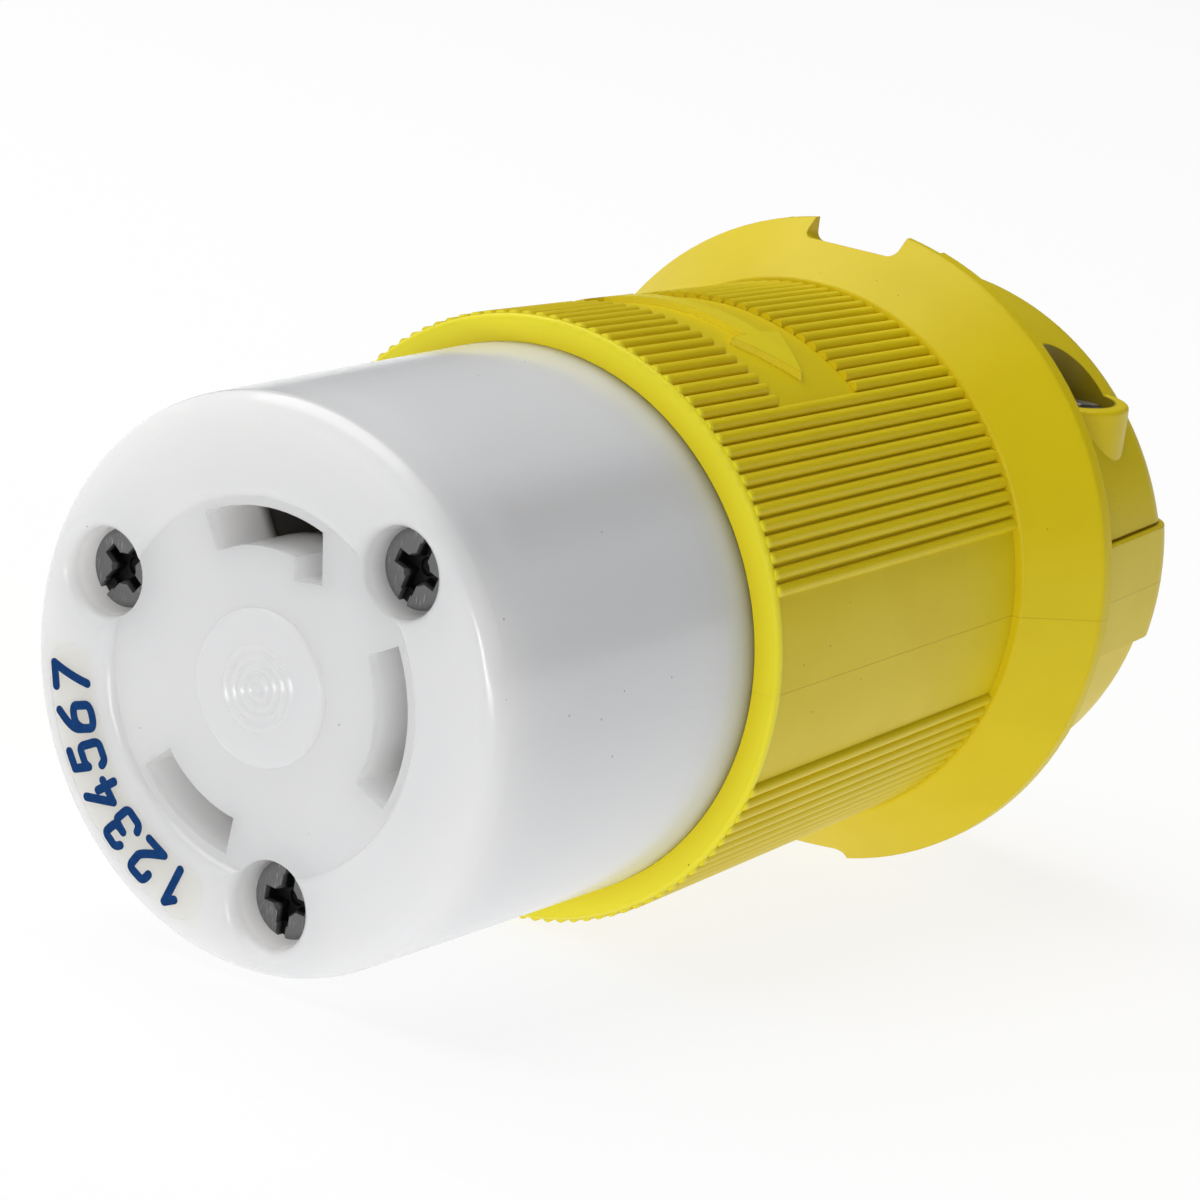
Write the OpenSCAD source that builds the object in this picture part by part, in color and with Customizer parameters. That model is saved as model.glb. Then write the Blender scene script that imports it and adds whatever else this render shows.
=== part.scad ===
// Twist-lock cord connector, the socket half of a locking power coupling for a flexible cord.
// It lies on its side: the contact face looks along -Y, the cord leaves along +Y, and the two
// clamp screws stand upright. Sizes are in millimetres. Lengths along the axis are counted from
// the contact face. Angles are seen from the front, from +X (0) up to +Z (90).

/* [Contact body] */
// Diameter of the white body at its face
face_d = 45.8; // [44:0.1:48]
// Growth of that diameter from the face to the housing, the mould's draft
face_draft = 0.5; // [0:0.1:1]
// Length of the body in front of the housing
face_len = 34.2; // [28:0.1:44]
// Rounding of the face's outer edge
face_edge_r = 1.7; // [0.6:0.1:2.4]
// Diameter of the spigot that enters the housing
spigot_d = 41.8; // [41:0.1:42.4]
// Length of that spigot
spigot_len = 6; // [4:0.1:10]
// Diameter of the shallow recess that holds the slots
recess_d = 30.6; // [30:0.1:31.4]
// Depth of the shallow recess
recess_depth = 0.7; // [0.2:0.05:0.8]
// Diameter of the raised disc in the middle
disc_d = 12.6; // [10:0.1:15]
// Height of the disc over the floor of the recess
disc_h = 0.5; // [0.2:0.05:0.8]
// Number of fine rings moulded on the disc
ring_count = 4; // [0:1:5]
// Inner radius of the sunk marking pad
pad_in_r = 16.5; // [15.8:0.1:17.5]
// Outer radius of the sunk marking pad
pad_out_r = 21.1; // [20:0.1:21.1]
// Depth of the marking pad
pad_depth = 0.05; // [0.05:0.05:0.3]
// Direction of the marking pad's middle
pad_angle = 222; // [218:1:226]
// Angle that the marking pad spans, without its round ends
pad_span = 62; // [50:1:66]

/* [Contact slots] */
// Diameter over the outside of the curved slots
slot_out_d = 28.3; // [27.4:0.1:29]
// Radial width of the curved slots
slot_w = 3.1; // [2:0.1:3.6]
// Thickness of the wall that the slots pass through
slot_wall = 8; // [7:0.1:12]
// Direction of the right-hand slot
line_x_angle = 1; // [-3:0.5:3]
// Angle that the right-hand slot spans
line_x_span = 54; // [44:1:56]
// Direction of the lower slot
line_y_angle = -118.5; // [-121:0.5:-116]
// Angle that the lower slot spans
line_y_span = 42; // [36:1:44]
// Direction of the ground slot
ground_angle = 96; // [93:0.5:99]
// Angle that the ground slot spans
ground_span = 48; // [44:1:50]
// Width of the ground slot's inward tail
tail_w = 2.65; // [2:0.05:3]
// Distance from the axis to the end of that tail
tail_reach = 8.85; // [8.7:0.05:9.6]
// Thickness of the brass contact leaves
leaf_t = 0.8; // [0.5:0.05:1]

/* [Contact carrier] */
// Thickness of the insulating block behind the body
carrier_t = 7; // [5:0.1:10]
// Height of the walls between the wire terminals
barrier_h = 8; // [6:0.1:11]
// Thickness of those walls
barrier_t = 1.6; // [1.2:0.1:2.2]
// Width of a terminal pad
pad_w = 8; // [7.6:0.1:9]
// Thickness of a terminal pad
terminal_t = 1.6; // [1.2:0.1:2.4]
// Thickness of a wire clamp plate
plate_t = 1.2; // [0.8:0.1:1.8]

/* [Assembly screws] */
// Distance of the long screws from the axis
screw_r = 17.1; // [16.9:0.05:17.3]
// Diameter of the screw pockets in the face
pocket_d = 7.1; // [6.8:0.1:7.4]
// Rounding of the pockets' mouths
pocket_edge_r = 1.1; // [0.4:0.1:1.3]
// Depth of the screw heads below the face
head_depth = 2.6; // [2:0.1:3.5]
// Diameter of the screw heads
head_d = 6.4; // [6:0.1:6.6]
// Height of the screw heads
head_h = 2.2; // [1.8:0.1:2.6]
// Diameter of the screws over the thread
shank_d = 3.9; // [3.5:0.05:4]
// Outer diameter of the brass inserts
insert_d = 5.6; // [5.2:0.1:6]
// Length of the brass inserts
insert_len = 8; // [5:0.1:11]

/* [Housing] */
// Diameter of the ribbed cover behind the lip, between the ribs
cover_front_d = 50.2; // [49.6:0.1:52]
// Diameter of the cover at the flange, between the ribs
cover_rear_d = 47.6; // [47:0.1:49.4]
// Length of the cover from its lip to the flange
cover_len = 40.3; // [36:0.1:46]
// Diameter of the ring at the front that the ribs start from
lip_d = 50.8; // [50.6:0.1:52.4]
// Rounding of that ring's front edge
lip_r = 0.35; // [0.2:0.05:0.5]
// Length of that ring
lip_len = 0.7; // [0.6:0.1:2]
// Angle from one grip rib to the next
rib_pitch = 3; // [2.8:0.1:4]
// Radius of a grip rib
rib_r = 0.55; // [0.4:0.05:0.58]
// Half angle of the smooth panel at each side
panel_half = 18; // [12:1:24]
// Start of the smooth window on top, counted from the lip
window_start = 12.4; // [8:0.1:15]
// Length of the smooth window on top
window_len = 12.4; // [8:0.1:15]
// Half angle of the smooth window on top
window_half = 36; // [18:1:48]
// Diameter of the flange
flange_d = 59; // [57:0.1:62]
// Length of the flange's conical front
flange_cone = 5.8; // [4:0.1:8]
// Thickness of the flange at its rim
flange_rim = 1.6; // [1.4:0.1:3]
// Rounding of the flange's rim
rim_edge_r = 0.4; // [0.2:0.1:0.6]
// Depth of the notches in the flange
notch_depth = 1.9; // [1.5:0.1:2.1]
// Angle at which the notches' floors fall towards the rear
notch_slope = 12; // [0:1:13]
// Width of the upper notch
top_notch_w = 9.6; // [6:0.1:12]
// Width of the lower notch
low_notch_w = 15; // [10:0.1:18]
// Rounding in the corners of the notches
notch_r = 0.8; // [0.4:0.1:1.4]

/* [Cord clamp] */
// Diameter of the rear dome at the flange, over the side bands
dome_front_d = 54.7; // [53.6:0.1:55.2]
// Diameter of the rear dome at its end, over the side bands
dome_rear_d = 51.4; // [50.4:0.1:52.4]
// Length of the rear dome behind the flange
dome_len = 19.1; // [18:0.1:23]
// Rounding of the dome's rear edge
dome_edge_r = 4.4; // [2:0.1:5]
// Height of the side bands over the dome
band_step = 0.95; // [0.6:0.05:1.2]
// Distance by which the closed clamp half's crown lies lower than the dome's
clamp_drop = 2.3; // [0:0.1:3]
// Height above the axis at which the clamp parts from the housing
split_h = 5.1; // [4:0.1:6]
// Height of the side bands below the axis
band_low = 5.3; // [4:0.1:7]
// Diameter of the cord channel with the clamp closed
cord_d = 16; // [13:0.5:18]
// Depth of the grip grooves in the cord channel
grip_depth = 0.9; // [0.5:0.1:1.2]
// Distance between the two clamp screws
clamp_pitch = 35.3; // [33:0.1:36]
// Diameter of the clamp screw bosses
boss_d = 10; // [9.2:0.1:10.6]
// Height of the bosses' flat tops above the axis
boss_top = 16.1; // [15:0.1:17]
// Rounding of the bosses' rims
boss_edge_r = 0.4; // [0.1:0.1:0.8]
// Diameter of the wells that take the clamp screws' heads
well_d = 7.3; // [7:0.1:7.6]
// Diameter of the clamp screws' heads
clamp_head_d = 6.7; // [6:0.1:6.8]
// Depth of those heads below the bosses' tops
clamp_head_depth = 0.7; // [0.5:0.1:3]
// Diameter of the clamp screws over the thread
clamp_shank_d = 3.8; // [3.4:0.05:4]
// Width of the clamp nuts across their flats
nut_w = 7; // [6.4:0.1:7.4]
// Height of the clamp nuts
nut_h = 3.2; // [2.4:0.1:4]

/* [Clearances] */
// Radial gap of the spigot and the carrier in the housing
fit_gap = 0.1; // [0.05:0.05:0.2]
// Radial gap of a screw in its clear hole
hole_gap = 0.2; // [0.1:0.05:0.3]
// Radial gap of a screw in its thread
thread_gap = 0.05; // [0.04:0.01:0.1]
// Gap around the closed clamp
clamp_gap = 0.3; // [0.3:0.05:0.7]

/* [Hidden] */
$fn = 96;

white = "ghostwhite";
yellow = "gold";
brass = "goldenrod";
steel = "dimgray";
past = 1; // how far a cut runs past the surface that it opens

// Radii and places along the axis
face_r = face_d / 2;
face_rear_r = face_r + face_draft / 2;
spigot_r = spigot_d / 2;
bore_r = spigot_r + fit_gap;
lip_y = face_len;
body_end = face_len + spigot_len;
carrier_end = body_end + carrier_t;
cover_front_r = cover_front_d / 2;
cover_rear_r = cover_rear_d / 2;
cover_start = lip_y + lip_len;
flange_start = lip_y + cover_len;
flange_r = flange_d / 2;
rim_start = flange_start + flange_cone;
flange_end = rim_start + flange_rim;
dome_end = flange_end + dome_len;
total_len = dome_end;
notch_floor = flange_r - notch_depth;
foot_edge_r = 0.25;
foot_r = cover_rear_r + rib_r + foot_edge_r; // the flange rises in a step that the ribs end on
axis_h = sqrt(pow(flange_r, 2) - pow(low_notch_w / 2, 2)); // the lower notch's corners touch the ground

// Contacts and terminals
slot_out_r = slot_out_d / 2;
slot_in_r = slot_out_r - slot_w;
contact_setback = 2; // from the back of the slotted wall to the contact leaves
leaf_room = 0.3;
chamber_room = 0.35;
contact_out_r = slot_out_r + leaf_room + leaf_t;
contact_in_r = slot_in_r - leaf_room - leaf_t;
chamber_out_r = contact_out_r + chamber_room;
chamber_in_r = min(contact_in_r, tail_reach) - chamber_room;
chamber_extra = 3; // degrees past each end of its slot
contact_front = slot_wall + contact_setback;
tail_out_v = slot_out_r * sin(ground_span / 2); // outer side of the ground slot's tail
tail_in_v = tail_out_v - tail_w;
stem_r = (contact_out_r + contact_in_r) / 2;
stem_w = 6;
stem_t = 1.6;
stem_room = 0.15;
terminal_reach = 8; // how far a terminal pad reaches from its stem towards the axis
terminal_screw_r = stem_r - terminal_reach / 2;
terminal_end = carrier_end + terminal_t;
plate_end = terminal_end + plate_t;
terminal_head_d = 6.6;
terminal_head_h = 2.4;
terminal_shank_d = 3.4;
terminal_hole_depth = 4;
line_angles = [line_x_angle, line_y_angle];
screw_angles = [45.5, 162.5, 280];
screw_turns = [24, 68, -14]; // how far each screw's slot is turned
pocket_floor = head_depth + head_h;
post_wall = 1.4;
post_end_wall = 5;
screw_overrun = 1;
post_r = insert_d / 2 + post_wall;
post_len = insert_len + post_end_wall;
screw_end = carrier_end + insert_len + screw_overrun;
barrier_in_r = 3;
barrier_out_r = 12.4;
barrier_angles = [48.5, 168.5, 301];

// Cord clamp
clamp_setback = 9.8; // from the flange to the clamp screws
clamp_y = flange_end + clamp_setback;
clamp_x = clamp_pitch / 2;
clamp_head_h = 2.2;
clamp_seat = boss_top - clamp_head_depth - clamp_head_h; // height at which the clamp screws' heads sit
clamp_turns = [15, 55]; // how far each clamp screw's slot is turned
nut_seat = -4;
clamp_travel = 6.5; // length of screw below the nut, which lets the clamp half lift
clamp_screw_end = nut_seat - nut_h - clamp_travel;
nut_room = 0.15;
grip_start = 4.4; // from the flange to the first grip groove
grip_w = 2.2;
grip_pitch = 4.6;
grip_count = 3;
mouth_r = 1.2; // rounding of the cord channel's rear mouth
neck_room = 2;
cavity_neck_r = cord_d / 2 + neck_room;
cavity_taper = 9.6; // length over which the wiring space narrows to the cord channel

function cover_r(y) =
    cover_front_r + (cover_rear_r - cover_front_r) * (y - cover_start) / (flange_start - cover_start);

function unit(v) = v / norm(v);

// Where a rounding of radius r touches the two sides of corner p, and its centre between them
function corner(before, p, after, r) =
    let (u = unit(before - p), v = unit(after - p), half = acos(u * v) / 2)
    [p + u * r / tan(half), p + unit(u + v) * r / sin(half), p + v * r / tan(half)];

// A counterclockwise outline whose corners are rounded, each to its own radius, with true arcs
module rounded_outline(points, radii) {
    count = len(points);
    function before(i) = points[(i + count - 1) % count];
    function after(i) = points[(i + 1) % count];
    function bulges(i) = cross(points[i] - before(i), after(i) - points[i]) > 0;
    function rounding(i) = corner(before(i), points[i], after(i), radii[i]);
    rounded = [for (i = [0 : count - 1]) if (radii[i] > 0) i];
    difference() {
        union() {
            polygon([for (i = [0 : count - 1])
                each radii[i] > 0 ? [rounding(i)[0], rounding(i)[2]] : [points[i]]]);
            for (i = rounded) if (bulges(i)) translate(rounding(i)[1]) circle(radii[i]);
        }
        for (i = rounded) if (!bulges(i)) translate(rounding(i)[1]) circle(radii[i]);
    }
}

// Sets the finished connector on the ground, centred along its length
module placed() translate([0, -total_len / 2, axis_h]) children();

// Turns a profile of radius and length about the connector's axis
module turned() rotate([-90, 0, 0]) rotate_extrude() children();

// Turns a profile through an angle about the axis, centred on a direction
module swept(direction, span)
    rotate([0, -direction - span / 2, 0]) rotate([-90, 0, 0]) rotate_extrude(angle = span) children();

// Puts something made along +X out at a direction around the axis
module toward(direction) rotate([0, -direction, 0]) children();

// A straight cylinder along the axis
module rod(r, y0, y1) translate([0, y0, 0]) rotate([-90, 0, 0]) cylinder(r = r, h = y1 - y0);

// Things that repeat at the three long screws
module at_screws() for (a = screw_angles) toward(a) translate([screw_r, 0, 0]) children();

// A block given by its two corners
module block(low, high) translate(low) cube(high - low);

// A rectangle in a profile, from one radius and length to another
module band(r0, y0, r1, y1) translate([r0, y0]) square([r1 - r0, y1 - y0]);

// The cut that rounds the mouth of a hole along the axis
module rounded_mouth(hole_r, edge_r) rotate([-90, 0, 0]) rotate_extrude() difference() {
    band(0, -past, hole_r + edge_r, edge_r);
    translate([hole_r + edge_r, edge_r]) circle(edge_r);
}

// Driver recess of a combination head: a straight slot across, and a cross with a pit in the middle.
// It is cut from the top of a head that faces +Z.
module driver_recess(head_diameter, turn) rotate([0, 0, turn]) {
    slot = [head_diameter + past, 0.9, 0.9];
    arm = [4.1, 1.2, 1.5];
    pit_d = 2.6;
    pit_depth = 1.8;
    for (size = [slot, arm, [arm[1], arm[0], arm[2]]])
        translate([0, 0, -size[2] / 2 + past / 2])
            cube([size[0], size[1], size[2] + past], center = true);
    translate([0, 0, -pit_depth]) cylinder(d1 = pit_d / 2, d2 = pit_d, h = pit_depth + past / 10);
}

// A screw with its head's top at the origin, pointing down along -Z
module screw(head_diameter, head_height, shank_diameter, length, turn) difference() {
    edge = 0.5;
    union() {
        rotate_extrude() {
            band(0, -head_height, head_diameter / 2, -edge);
            band(0, -edge - 0.1, head_diameter / 2 - edge, 0);
            translate([head_diameter / 2 - edge, -edge]) circle(edge);
        }
        translate([0, 0, -length]) cylinder(d = shank_diameter, h = length - head_height / 2);
    }
    driver_recess(head_diameter, turn);
}

// Contact body
module face_profile() rounded_outline(
    [[0, 0], [face_r, 0], [face_rear_r, face_len], [spigot_r, face_len], [spigot_r, body_end], [0, body_end]],
    [0, face_edge_r, 0, 0, 0, 0]);

module recess_cut() turned() difference() {
    edge = recess_depth * 1.5;
    band(0, -past, recess_d / 2 + edge / 2, recess_depth);
    translate([recess_d / 2 + edge / 2, edge]) circle(edge);
}

module centre_disc() {
    edge = disc_h * 0.9;
    top = recess_depth - disc_h;
    turned() {
        band(0, top, disc_d / 2 - edge, recess_depth + past);
        band(0, top + edge, disc_d / 2, recess_depth + past);
        translate([disc_d / 2 - edge, top + edge]) circle(edge);
    }
    ring_pitch = 0.82;
    ring_h = 0.13;
    foot = 0.27; // half the width of a ring where it meets the disc
    crest = 0.09; // half the width of its flat top
    for (i = [1 : ring_count]) turned() translate([i * ring_pitch, top])
        polygon([[-foot, past], [-foot, 0], [-crest, -ring_h], [crest, -ring_h], [foot, 0], [foot, past]]);
}

module slot_cut(direction, span)
    swept(direction, span) band(slot_in_r, -past, slot_out_r, slot_wall + past);

module tail_cut() toward(ground_angle) {
    overlap = 0.2; // keeps the tail's end inside the curved slot
    block([tail_reach, -past, -tail_out_v],
          [slot_out_r * cos(ground_span / 2) - overlap, slot_wall + past, -tail_in_v]);
}

module chamber_cut(direction, span)
    swept(direction, span + 2 * chamber_extra)
        band(chamber_in_r, slot_wall, chamber_out_r, body_end + past);

// The sunk pad on the face, a curved band with round ends
module marking_pad() {
    swept(pad_angle, pad_span) band(pad_in_r, -past, pad_out_r, pad_depth);
    for (side = [-1, 1]) toward(pad_angle + side * pad_span / 2)
        translate([(pad_in_r + pad_out_r) / 2, 0, 0])
            rod((pad_out_r - pad_in_r) / 2, -past, pad_depth);
}

module face_body() color(white) difference() {
    union() {
        difference() {
            turned() face_profile();
            recess_cut();
            marking_pad();
        }
        centre_disc();
    }
    slot_cut(line_x_angle, line_x_span);
    slot_cut(line_y_angle, line_y_span);
    slot_cut(ground_angle, ground_span);
    tail_cut();
    chamber_cut(line_x_angle, line_x_span);
    chamber_cut(line_y_angle, line_y_span);
    chamber_cut(ground_angle, ground_span);
    at_screws() {
        rod(pocket_d / 2, -past, pocket_floor);
        rod(shank_d / 2 + hole_gap, 0, body_end + past);
        rounded_mouth(pocket_d / 2, pocket_edge_r);
    }
}

// Insulating carrier with its terminal walls
module contact_carrier() color("dimgray") difference() {
    union() {
        rod(spigot_r, body_end, carrier_end);
        for (a = barrier_angles) toward(a)
            block([barrier_in_r, carrier_end - past, -barrier_t / 2],
                  [barrier_out_r, carrier_end + barrier_h, barrier_t / 2]);
    }
    at_screws() rod(shank_d / 2 + hole_gap, body_end - past, carrier_end + past);
    for (a = concat(line_angles, ground_angle)) toward(a) {
        block([stem_r - stem_t / 2 - stem_room, body_end - past, -stem_w / 2 - stem_room],
              [stem_r + stem_t / 2 + stem_room, carrier_end + past, stem_w / 2 + stem_room]);
        translate([terminal_screw_r, 0, 0])
            rod(terminal_shank_d / 2 + hole_gap, carrier_end - terminal_hole_depth, carrier_end + past);
    }
}

// A brass contact: two curved leaves behind the slot, a base on the carrier, a stem through it
// and a drilled pad for the wire
module contact(direction, span) color(brass) {
    base_start = body_end - leaf_t;
    swept(direction, span) {
        band(contact_out_r - leaf_t, contact_front, contact_out_r, body_end);
        band(contact_in_r, contact_front, contact_in_r + leaf_t, body_end);
        band(contact_in_r, base_start, contact_out_r, body_end);
    }
    toward(direction) difference() {
        union() {
            block([stem_r - stem_t / 2, base_start, -stem_w / 2],
                  [stem_r + stem_t / 2, terminal_end, stem_w / 2]);
            block([stem_r - terminal_reach, carrier_end, -pad_w / 2],
                  [stem_r + stem_t / 2, terminal_end, pad_w / 2]);
        }
        translate([terminal_screw_r, 0, 0])
            rod(terminal_shank_d / 2 + thread_gap, carrier_end - past, terminal_end + past);
    }
}

module line_contact_x() contact(line_x_angle, line_x_span);
module line_contact_y() contact(line_y_angle, line_y_span);
module ground_contact() contact(ground_angle, ground_span);

// A clamp plate that the terminal screw presses on the wire
module wire_clamp(direction) color("silver") toward(direction) difference() {
    lip = 0.5;
    translate([terminal_screw_r, 0, 0])
        block([-terminal_reach / 2 + lip, terminal_end, -pad_w / 2 + lip],
              [terminal_reach / 2 - lip, plate_end, pad_w / 2 - lip]);
    translate([terminal_screw_r, 0, 0])
        rod(terminal_shank_d / 2 + hole_gap, terminal_end - past, plate_end + past);
}

module line_clamp_x() wire_clamp(line_x_angle);
module line_clamp_y() wire_clamp(line_y_angle);
module ground_clamp() wire_clamp(ground_angle);

module terminal_screw(direction) toward(direction)
    translate([terminal_screw_r, plate_end + terminal_head_h, 0]) rotate([-90, 0, 0])
        screw(terminal_head_d, terminal_head_h, terminal_shank_d,
              plate_end + terminal_head_h - carrier_end + terminal_hole_depth - past / 2, direction);

module line_terminal_screws() color(brass) for (a = line_angles) terminal_screw(a);
module ground_terminal_screw() color("seagreen") terminal_screw(ground_angle);

// Long screws and the inserts that they turn into
module assembly_screws() color(steel) for (i = [0 : len(screw_angles) - 1])
    toward(screw_angles[i]) translate([screw_r, head_depth, 0]) rotate([90, 0, 0])
        screw(head_d, head_h, shank_d, screw_end - head_depth, screw_turns[i]);

module threaded_inserts() color(brass) at_screws() difference() {
    rod(insert_d / 2, carrier_end, carrier_end + insert_len);
    rod(shank_d / 2 + thread_gap, carrier_end - past, carrier_end + insert_len + past);
}

// Outside of the housing
module cover_profile() rounded_outline(
    [[0, lip_y], [lip_d / 2, lip_y], [lip_d / 2, cover_start], [cover_front_r, cover_start],
     [cover_rear_r, flange_start], [foot_r, flange_start], [flange_r, rim_start], [flange_r, flange_end],
     [0, flange_end]],
    [0, lip_r, 0, 0, 0, foot_edge_r, rim_edge_r, rim_edge_r, 0]);

// A grip rib that lies along the cover's taper, between two places along the axis
module rib(direction, y0, y1) {
    slope = atan((cover_r(y0) - cover_r(y1)) / (y1 - y0));
    toward(direction) translate([cover_r(y0), y0, 0]) rotate([-90, 0, 0]) rotate([0, -slope, 0])
        cylinder(r = rib_r, h = (y1 - y0) / cos(slope), $fn = 24);
}

module ribs() {
    front = cover_start - lip_r / 2;
    rear = flange_start + past / 2;
    window_y = lip_y + window_start;
    top = 90;
    rib_count = floor((180 - 2 * panel_half) / rib_pitch);
    first = top - rib_pitch * (rib_count - 1) / 2;
    for (i = [0 : rib_count - 1]) {
        a = first + i * rib_pitch;
        rib(-a, front, rear);
        if (abs(a - top) < window_half) {
            rib(a, front, window_y);
            rib(a, window_y + window_len, rear);
        } else {
            rib(a, front, rear);
        }
    }
}

// A notch through the flange, cut inwards from the rim at the top. Its floor falls towards the rear
// from the line where it leaves the flange's conical front.
module notch(width) {
    front = rim_start - notch_depth * flange_cone / (flange_r - foot_r);
    rear = flange_end - front + past;
    length = rear + flange_cone;
    height = 2 * notch_depth + past;
    translate([0, front, notch_floor]) rotate([-notch_slope, 0, 0])
        translate([0, rear, 0]) rotate([90, 0, 0]) linear_extrude(length) {
            translate([-width / 2, notch_r]) square([width, height]);
            translate([notch_r - width / 2, 0]) square([width - 2 * notch_r, height]);
            for (side = [-1, 1]) translate([side * (width / 2 - notch_r), notch_r]) circle(notch_r);
        }
}

// Profile of the rear dome, set in by the height of the side bands or not
module dome_profile(inset) {
    start = flange_end - past;
    front_r = dome_front_d / 2 - inset;
    rear_r = dome_rear_d / 2 - inset;
    rounded_outline([[0, start], [front_r, start], [front_r, flange_end], [rear_r, dome_end], [0, dome_end]],
                    [0, 0, 0, dome_edge_r, 0]);
}

// Everything of a shape between two heights, for the given stretch of the axis
module between(low, high, y0, y1) intersection() {
    children();
    block([-flange_r, y0, low], [flange_r, y1, high]);
}

// The cord channel, open upwards from the axis in the housing, with grip grooves
module cord_channel(open_up) {
    start = flange_end - past;
    radius = cord_d / 2;
    module channel(r, y0, y1) {
        rod(r, y0, y1);
        if (open_up) block([-r, y0, 0], [r, y1, flange_r]);
    }
    channel(radius, start, dome_end + past);
    for (i = [0 : grip_count - 1]) {
        y = flange_end + grip_start + i * grip_pitch;
        channel(radius + grip_depth, y, y + grip_w);
    }
    rear_mouth(radius);
}

// The rounded rear mouth of the cord channel
module rear_mouth(radius) translate([0, dome_end, 0]) rotate([180, 0, 0]) rounded_mouth(radius, mouth_r);

module at_clamp_screws() for (side = [-1, 1]) translate([side * clamp_x, clamp_y, 0]) children();

module hexagon_prism(width, low, high)
    translate([0, 0, low]) cylinder(d = width / cos(30), h = high - low, $fn = 6);

module wiring_space() turned() polygon([[0, lip_y - past], [bore_r, lip_y - past],
    [bore_r, flange_end - cavity_taper], [cavity_neck_r, flange_end - past / 2],
    [cavity_neck_r, flange_end + past], [0, flange_end + past]]);

module housing() color(yellow) difference() {
    union() {
        difference() {
            union() {
                turned() cover_profile();
                ribs();
                between(-flange_r, split_h, flange_end - past / 2, dome_end + past)
                    turned() dome_profile(band_step);
                between(-band_low, split_h, flange_end - past / 2, dome_end + past)
                    turned() dome_profile(0);
            }
            wiring_space();
            notch(top_notch_w);
            rotate([0, 180, 0]) notch(low_notch_w);
            cord_channel(true);
        }
        at_screws() rod(post_r, carrier_end, carrier_end + post_len);
    }
    at_screws() {
        rod(insert_d / 2 + thread_gap, carrier_end - past, carrier_end + insert_len);
        rod(shank_d / 2 + hole_gap, carrier_end, screw_end + past);
    }
    at_clamp_screws() {
        translate([0, 0, nut_seat - past])
            cylinder(r = clamp_shank_d / 2 + hole_gap, h = split_h - nut_seat + 2 * past);
        hexagon_prism(nut_w + 2 * nut_room, -flange_r, nut_seat);
    }
}

// The upper half of the cord clamp
module cord_clamp() color(yellow) difference() {
    low = split_h + clamp_gap;
    union() {
        between(low, flange_r, flange_end + clamp_gap, dome_end + past)
            translate([0, 0, -clamp_drop]) turned() dome_profile(0);
        at_clamp_screws() rotate_extrude() rounded_outline(
            [[0, low], [boss_d / 2, low], [boss_d / 2, boss_top], [0, boss_top]], [0, 0, boss_edge_r, 0]);
    }
    cord_channel(false);
    at_clamp_screws() {
        translate([0, 0, clamp_seat]) cylinder(d = well_d, h = flange_r);
        cylinder(r = clamp_shank_d / 2 + hole_gap, h = boss_top);
    }
}

module clamp_screws() color("silver") for (i = [0, 1])
    translate([(2 * i - 1) * clamp_x, clamp_y, clamp_seat + clamp_head_h])
        screw(clamp_head_d, clamp_head_h, clamp_shank_d,
              clamp_seat + clamp_head_h - clamp_screw_end, clamp_turns[i]);

module clamp_nuts() color("silver") at_clamp_screws() difference() {
    hexagon_prism(nut_w, nut_seat - nut_h, nut_seat);
    translate([0, 0, nut_seat - nut_h - past])
        cylinder(r = clamp_shank_d / 2 + thread_gap, h = nut_h + 2 * past);
}

placed() face_body();
placed() contact_carrier();
placed() line_contact_x();
placed() line_contact_y();
placed() ground_contact();
placed() line_clamp_x();
placed() line_clamp_y();
placed() ground_clamp();
placed() line_terminal_screws();
placed() ground_terminal_screw();
placed() assembly_screws();
placed() threaded_inserts();
placed() housing();
placed() cord_clamp();
placed() clamp_screws();
placed() clamp_nuts();
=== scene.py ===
"""Finishes, printed numerals, a moulded arrow and a plain studio for the twist-lock cord connector."""

import math

import bpy
from bpy.props import FloatProperty, FloatVectorProperty, PointerProperty, StringProperty
from bpy.types import Operator, Panel, PropertyGroup
from mathutils import Matrix, Vector


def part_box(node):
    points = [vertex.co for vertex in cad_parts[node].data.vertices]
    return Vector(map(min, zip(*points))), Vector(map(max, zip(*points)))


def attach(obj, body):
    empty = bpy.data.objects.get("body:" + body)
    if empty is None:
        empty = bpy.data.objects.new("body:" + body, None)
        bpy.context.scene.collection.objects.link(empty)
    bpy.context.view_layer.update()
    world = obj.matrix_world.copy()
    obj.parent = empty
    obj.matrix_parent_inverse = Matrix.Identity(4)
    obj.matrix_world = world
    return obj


bl_info = {
    "name": "Twist-lock cord connector",
    "version": (1, 0, 0),
    "blender": (4, 5, 0),
    "location": "View3D > Sidebar > Connector",
    "description": "Finishes, printed numerals and a studio for a twist-lock cord connector",
    "category": "Object",
}

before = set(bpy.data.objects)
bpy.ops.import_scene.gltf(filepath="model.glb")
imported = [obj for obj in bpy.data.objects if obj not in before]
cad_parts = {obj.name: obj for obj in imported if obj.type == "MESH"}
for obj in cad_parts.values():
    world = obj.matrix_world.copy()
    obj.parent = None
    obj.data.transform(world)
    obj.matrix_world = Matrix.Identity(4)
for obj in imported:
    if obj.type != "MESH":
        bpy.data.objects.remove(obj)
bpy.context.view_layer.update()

MM = 0.001
BODY = "connector"

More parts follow.
